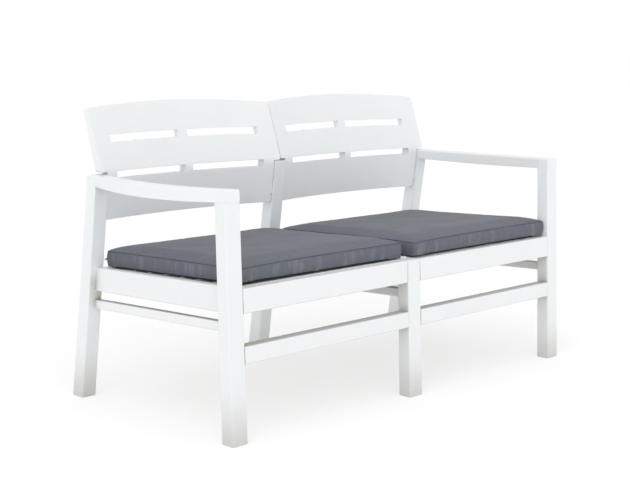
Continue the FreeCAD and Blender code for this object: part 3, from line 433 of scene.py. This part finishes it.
def seam_line(pad, upper):
    """The points of one seam, in order round the cushion."""
    mesh = pad.data
    group = pad.vertex_groups["seam"].index
    on_seam = {point.index for point in mesh.vertices
               for entry in point.groups if entry.group == group and entry.weight > 0.9}
    heights = [mesh.vertices[i].co.z + SEAT_FALL * mesh.vertices[i].co.y for i in on_seam]
    halfway = (min(heights) + max(heights)) / 2
    chosen = {i for i in on_seam
              if (mesh.vertices[i].co.z + SEAT_FALL * mesh.vertices[i].co.y > halfway) == upper}
    beside = {i: [] for i in chosen}
    for edge in mesh.edges:
        a, b = edge.vertices
        if a in chosen and b in chosen:
            beside[a].append(b)
            beside[b].append(a)
    start = min(chosen, key=lambda i: mesh.vertices[i].co.x + mesh.vertices[i].co.y)
    walk, last = [start], None
    while True:
        following = [i for i in beside[walk[-1]] if i != last]
        last = walk[-1]
        if not following or following[0] == start:
            break
        walk.append(following[0])
    return [mesh.vertices[i].co.copy() for i in walk]


def tube(name, line, radius, closed):
    """A round strand along a line of points, as a mesh."""
    curve = bpy.data.curves.new(name, "CURVE")
    curve.dimensions = "3D"
    curve.bevel_depth = radius
    curve.bevel_resolution = 2
    curve.use_fill_caps = not closed
    spline = curve.splines.new("POLY")
    spline.points.add(len(line) - 1)
    spline.points.foreach_set("co", [value for point in line for value in (*point, 1.0)])
    spline.use_cyclic_u = closed
    drawn = bpy.data.objects.new(name, curve)
    scene.collection.objects.link(drawn)
    mesh = bpy.data.meshes.new_from_object(drawn.evaluated_get(bpy.context.evaluated_depsgraph_get()))
    bpy.data.objects.remove(drawn)
    strand = bpy.data.objects.new(name, mesh)
    scene.collection.objects.link(strand)
    for face in mesh.polygons:
        face.use_smooth = True
    return strand


# Plain-woven polyester with a coating behind it: mid grey, a little bluish, with the low silky
# sheen of filament yarn. Yarns are 0.5 mm apart; they are drawn 1.5 mm apart so that they show.
polyester, tree, out = new_material("coated_polyester_plain_weave")
cloth_place = add_node(tree, "ShaderNodeUVMap", {"uv_map": "cloth"})
place = add_node(tree, "ShaderNodeTexCoord")
warp = add_node(tree, "ShaderNodeTexWave", {"bands_direction": "X"}, Vector=cloth_place.outputs["UV"],
                Scale=0.314 / 0.0015, Distortion=0.6, Detail=1.0, Detail_Scale=0.6)
weft = add_node(tree, "ShaderNodeTexWave", {"bands_direction": "Y"}, Vector=cloth_place.outputs["UV"],
                Scale=0.314 / 0.0015, Distortion=0.6, Detail=1.0, Detail_Scale=0.6)
threads = add_node(tree, "ShaderNodeMath", {"operation": "MULTIPLY"}, _0=warp.outputs["Fac"],
                   _1=weft.outputs["Fac"])
yarn_shade = add_node(tree, "ShaderNodeMixRGB", Fac=threads.outputs["Value"], Color1=linear("#5B5E68"),
                      Color2=linear("#6D707A"))
dye = add_node(tree, "ShaderNodeTexNoise", Vector=place.outputs["Object"], Scale=1 / 0.09, Detail=4.0)
dyed = add_node(tree, "ShaderNodeMixRGB", {"blend_type": "OVERLAY"}, Fac=0.12,
                Color1=yarn_shade.outputs["Color"], Color2=dye.outputs["Color"])
creases = add_node(tree, "ShaderNodeTexNoise", Vector=place.outputs["Object"], Scale=1 / 0.022, Detail=4.0,
                   Roughness=0.55)
creased = add_node(tree, "ShaderNodeBump", Height=creases.outputs["Fac"], Distance=0.0007, Strength=0.25)
# On the upright boxing the cloth is gathered into drag folds, about 22 mm apart.
cloth_face = add_node(tree, "ShaderNodeNewGeometry")
cloth_facing = add_node(tree, "ShaderNodeSeparateXYZ", Vector=cloth_face.outputs["Normal"])
upright = add_node(tree, "ShaderNodeMapRange", Value=cloth_facing.outputs["Z"], From_Min=0.3, From_Max=0.6,
                   To_Min=1.0, To_Max=0.0)
fold_place = add_node(tree, "ShaderNodeMapping", Vector=place.outputs["Object"],
                      Scale=(1 / 0.022, 1 / 0.022, 1 / 0.12))
folds = add_node(tree, "ShaderNodeTexNoise", Vector=fold_place.outputs["Vector"], Scale=1.0, Detail=2.0)
boxing_folds = add_node(tree, "ShaderNodeMath", {"operation": "MULTIPLY"}, _0=folds.outputs["Fac"],
                        _1=upright.outputs["Result"])
gathered = add_node(tree, "ShaderNodeBump", Height=boxing_folds.outputs["Value"], Distance=0.004,
                    Strength=0.6, Normal=creased.outputs["Normal"])
# Painted highlight: the crests of the boxing folds are mixed towards a lighter grey.
fold_crest_highlight = add_node(tree, "ShaderNodeMapRange", Value=boxing_folds.outputs["Value"], From_Min=0.52,
                  From_Max=0.72, To_Min=0.0, To_Max=0.35)
fold_highlighted_colour = add_node(tree, "ShaderNodeMixRGB", Fac=fold_crest_highlight.outputs["Result"], Color1=dyed.outputs["Color"],
                    Color2=linear("#8D8F96"))
woven = add_node(tree, "ShaderNodeBump", Height=threads.outputs["Value"], Distance=0.0002, Strength=0.5,
                 Normal=gathered.outputs["Normal"])
gloss = add_node(tree, "ShaderNodeMapRange", Value=dye.outputs["Fac"], From_Min=0.3, From_Max=0.7,
                 To_Min=0.58, To_Max=0.72)
cloth_shader = add_node(tree, "ShaderNodeBsdfPrincipled", Base_Color=fold_highlighted_colour.outputs["Color"],
                        Roughness=gloss.outputs["Result"], IOR=1.38, Sheen_Weight=0.06, Sheen_Roughness=0.4,
                        Normal=woven.outputs["Normal"])
tree.links.new(cloth_shader.outputs["BSDF"], out.inputs["Surface"])

# Painted shade: the seam lips are black, standing in for the dark shade lines along the seams; they are drawn
# as black tape sewn with black thread.
# The underside is black as well, painted shade under the cushion, drawn as a non-slip scrim whose dots stand
# 4 mm apart.
seam_shade_black, tree, out = new_material("black_seam_tape_painted_shade")
place = add_node(tree, "ShaderNodeTexCoord")
stitches = add_node(tree, "ShaderNodeTexNoise", Vector=place.outputs["Object"], Scale=1 / 0.003, Detail=2.0)
colour = add_node(tree, "ShaderNodeMixRGB", Fac=stitches.outputs["Fac"], Color1=linear("#2C2D31"),
                  Color2=linear("#45464C"))
pulled_in = add_node(tree, "ShaderNodeBump", Height=stitches.outputs["Fac"], Distance=0.0003, Strength=0.6)
gloss = add_node(tree, "ShaderNodeMapRange", Value=stitches.outputs["Fac"], To_Min=0.5, To_Max=0.7)
thread = add_node(tree, "ShaderNodeBsdfPrincipled", Base_Color=colour.outputs["Color"], IOR=1.5,
                  Roughness=gloss.outputs["Result"], Normal=pulled_in.outputs["Normal"])
tree.links.new(thread.outputs["BSDF"], out.inputs["Surface"])

# Painted shade: the cushion's downward faces are black, drawn as a dotted non-slip scrim.
underside_shade_black, tree, out = new_material("black_underside_painted_shade")
place = add_node(tree, "ShaderNodeTexCoord")
dots = add_node(tree, "ShaderNodeTexVoronoi", Vector=place.outputs["Object"], Scale=1 / 0.004, Randomness=0.1)
dot = add_node(tree, "ShaderNodeMapRange", Value=dots.outputs["Distance"], From_Min=0.22, From_Max=0.30,
               To_Min=1.0, To_Max=0.0)
colour = add_node(tree, "ShaderNodeMixRGB", Fac=dot.outputs["Result"], Color1=linear("#232427"),
                  Color2=linear("#303136"))
raised = add_node(tree, "ShaderNodeBump", Height=dot.outputs["Result"], Distance=0.0003, Strength=0.7)
gloss = add_node(tree, "ShaderNodeMapRange", Value=dot.outputs["Result"], To_Min=0.85, To_Max=0.4)
rubbery = add_node(tree, "ShaderNodeBsdfPrincipled", Base_Color=colour.outputs["Color"], IOR=1.5,
                   Roughness=gloss.outputs["Result"], Normal=raised.outputs["Normal"])
tree.links.new(rubbery.outputs["BSDF"], out.inputs["Surface"])

pads = {}
for side, seed in (("left", 3), ("right", 8)):
    body = side + "_seat_cushion"
    pad = seat_cushion("seat_cushion_" + side, "cushion_" + side, side, seed)
    pads[side] = pad
    pad.data.materials.append(polyester)
    pad.data.materials.append(underside_shade_black)
    # Painted shade: faces that look downwards take the black underside material.
    for face in pad.data.polygons:
        if face.normal.z < -0.35:
            face.material_index = 1
    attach(pad, body)
    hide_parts("cushion_" + side)
    # The top lip runs all round. The bottom one is only a stub, about 40 mm long, at one corner.
    for level, upper in (("top", True), ("bottom", False)):
        lip = tube("cushion_" + level + "_welt_" + side, seam_line(pad, upper), WELT_RADIUS[level],
                   closed=True)
        # Painted shade: the black lips stand in for the dark shade lines at the seams.
        lip.data.materials.append(seam_shade_black)
        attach(lip, body)


# ---- cushion zips ----------------------------------------------------------------------------
# A nylon coil zip is sewn into the middle of each cushion's rear boxing, so that the cover comes
# off for washing. Its slider is parked near the left-hand corner, where its pull tab sticks out.

ZIP_ENDS = (0.012, 0.078)      # from the cushion's left-hand and right-hand ends
ZIP_HEIGHT = 0.023
TAPE_HALF, TAPE_THICKNESS, TAPE_PROUD = 0.008, 0.0012, 0.0005
COIL_PITCH, COIL_RADIUS, STEPS_PER_TURN = 0.0024, 0.00042, 8
SLIDER_PLACE = {"left": 0.020, "right": 0.062}
TAB_LENGTH = 0.016


def on_boxing(surface, x, above, far):
    """The point of the rear boxing at x and a height over the seat, and the way it faces."""
    start = Vector((x, far.y + 0.05, far.z + above))
    spot, facing, _, _ = surface.ray_cast(start, Vector((0, -1, 0)))
    return spot, facing


nylon, tree, out = new_material("black_nylon_zip_tape_and_coil")
place = add_node(tree, "ShaderNodeTexCoord")
ribbing = add_node(tree, "ShaderNodeTexWave", {"bands_direction": "X"}, Vector=place.outputs["Object"],
                   Scale=0.314 / 0.0012, Distortion=0.4, Detail=1.0)
fading = add_node(tree, "ShaderNodeTexNoise", Vector=place.outputs["Object"], Scale=1 / 0.03, Detail=3.0)
colour = add_node(tree, "ShaderNodeMixRGB", Fac=fading.outputs["Fac"], Color1=linear("#26272B"),
                  Color2=linear("#3B3C41"))
ribbed = add_node(tree, "ShaderNodeBump", Height=ribbing.outputs["Fac"], Distance=0.0002, Strength=0.5)
gloss = add_node(tree, "ShaderNodeMapRange", Value=ribbing.outputs["Fac"], To_Min=0.42, To_Max=0.62)
moulded = add_node(tree, "ShaderNodeBsdfPrincipled", Base_Color=colour.outputs["Color"], IOR=1.53,
                   Roughness=gloss.outputs["Result"], Normal=ribbed.outputs["Normal"])
tree.links.new(moulded.outputs["BSDF"], out.inputs["Surface"])

# Zinc die-casting under black lacquer, worn to a grey shine along its edges.
lacquer, tree, out = new_material("black_lacquered_zinc_slider")
edge = add_node(tree, "ShaderNodeBevel", {"samples": 6}, Radius=0.0005)
face = add_node(tree, "ShaderNodeNewGeometry")
on_face = add_node(tree, "ShaderNodeVectorMath", {"operation": "DOT_PRODUCT"}, _0=edge.outputs["Normal"],
                   _1=face.outputs["Normal"])
rub = add_node(tree, "ShaderNodeMapRange", Value=on_face.outputs["Value"], From_Min=0.8, From_Max=1.0,
               To_Min=1.0, To_Max=0.0)
colour = add_node(tree, "ShaderNodeMixRGB", Fac=rub.outputs["Result"], Color1=linear("#1E1F22"),
                  Color2=linear("#6D6E72"))
gloss = add_node(tree, "ShaderNodeMapRange", Value=rub.outputs["Result"], To_Min=0.45, To_Max=0.28)
coated = add_node(tree, "ShaderNodeBsdfPrincipled", Base_Color=colour.outputs["Color"], IOR=1.5,
                  Roughness=gloss.outputs["Result"], Normal=edge.outputs["Normal"])
tree.links.new(coated.outputs["BSDF"], out.inputs["Surface"])

for side, pad in pads.items():
    low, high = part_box("cushion_" + side)
    far = Vector((0, high.y, low.z))
    surface = BVHTree.FromPolygons([point.co for point in pad.data.vertices],
                                   [face.vertices for face in pad.data.polygons])
    start, end = low.x + ZIP_ENDS[0], high.x - ZIP_ENDS[1]

    # The tape follows the boxing, half a millimetre proud of it.
    columns = round((end - start) / 0.005)
    shape = bmesh.new()
    grid = []
    for column in range(columns + 1):
        x = start + (end - start) * column / columns
        rows = [on_boxing(surface, x, ZIP_HEIGHT + TAPE_HALF * share, far) for share in (-1, -0.5, 0, 0.5, 1)]
        grid.append([shape.verts.new(spot + facing * TAPE_PROUD) for spot, facing in rows])
    for near, following in zip(grid, grid[1:]):
        for row in range(4):
            shape.faces.new((near[row], following[row], following[row + 1], near[row + 1]))
    bmesh.ops.recalc_face_normals(shape, faces=shape.faces)
    bmesh.ops.solidify(shape, geom=shape.faces[:], thickness=TAPE_THICKNESS)
    bmesh.ops.recalc_face_normals(shape, faces=shape.faces)
    tape = new_object("zip_tape_" + side, shape)
    for face in tape.data.polygons:
        face.use_smooth = True

    # The coil is one strand wound flat along the middle of the tape.
    turns = round((end - start - 0.008) / COIL_PITCH)
    strand = []
    for step in range(turns * STEPS_PER_TURN):
        x = start + 0.004 + step / STEPS_PER_TURN * COIL_PITCH
        spot, facing = on_boxing(surface, x, ZIP_HEIGHT, far)
        wound = 2 * pi * step / STEPS_PER_TURN
        strand.append(spot + facing * (0.0014 + 0.0007 * cos(wound)) + Vector((0, 0, 0.0020 * sin(wound))))
    coil = tube("zip_coil_" + side, strand, COIL_RADIUS, closed=False)

    # The slider's two plates and its bridge, then a flat tab with an eye at its far end.
    spot, facing = on_boxing(surface, low.x + SLIDER_PLACE[side], ZIP_HEIGHT, far)
    along = Vector((0, 0, 1)).cross(facing).normalized()
    shape = bmesh.new()
    for size, lift in (((0.0105, 0.0085, 0.0012), 0.0012), ((0.0095, 0.0078, 0.0013), 0.0036),
                       ((0.0022, 0.0030, 0.0034), 0.0034)):
        made = bmesh.ops.create_cube(shape, size=1.0)["verts"]
        bmesh.ops.scale(shape, vec=size, verts=made)
        for point in made:
            if point.co.x > 0:
                point.co.y *= 0.72
        bmesh.ops.translate(shape, vec=(0, 0, lift), verts=made)
    bmesh.ops.bevel(shape, geom=shape.edges[:], offset=0.0004, segments=2, profile=0.5, affect="EDGES",
                    material=-1)
    turned = Matrix((along, facing.cross(along), facing)).transposed()
    bmesh.ops.rotate(shape, cent=(0, 0, 0), matrix=turned, verts=shape.verts)
    bmesh.ops.translate(shape, vec=spot, verts=shape.verts)
    slider = new_object("zip_slider_" + side, shape)

    shape = bmesh.new()
    outer, eye_hole = [], []
    for step in range(32):
        turn = 2 * pi * step / 32
        width = 0.0022 if cos(turn) > 0 else 0.0029
        outer.append(shape.verts.new((TAB_LENGTH / 2 * cos(turn), width * sin(turn), 0)))
        eye_hole.append(shape.verts.new((-0.0042 + 0.0018 * cos(turn), 0.0013 * sin(turn), 0)))
    for step in range(32):
        after = (step + 1) % 32
        shape.faces.new((outer[step], outer[after], eye_hole[after], eye_hole[step]))
    bmesh.ops.recalc_face_normals(shape, faces=shape.faces)
    bmesh.ops.solidify(shape, geom=shape.faces[:], thickness=0.0012)
    bmesh.ops.recalc_face_normals(shape, faces=shape.faces)
    hinge = spot + facing * 0.0048
    tip_way = Vector((-1, 0.10, -0.12)).normalized()
    flat = tip_way.cross(Vector((0, 1, 0))).normalized()
    turned = Matrix((-tip_way, flat.cross(-tip_way), flat)).transposed() @ Matrix.Rotation(pi / 2, 3, "X")
    bmesh.ops.rotate(shape, cent=(0, 0, 0), matrix=turned, verts=shape.verts)
    bmesh.ops.translate(shape, vec=hinge + tip_way * (TAB_LENGTH / 2 - 0.001), verts=shape.verts)
    tab = new_object("zip_pull_tab_" + side, shape)

    for piece, finish in ((tape, nylon), (coil, nylon), (slider, lacquer), (tab, lacquer)):
        piece.data.materials.append(finish)
        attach(piece, side + "_seat_cushion")
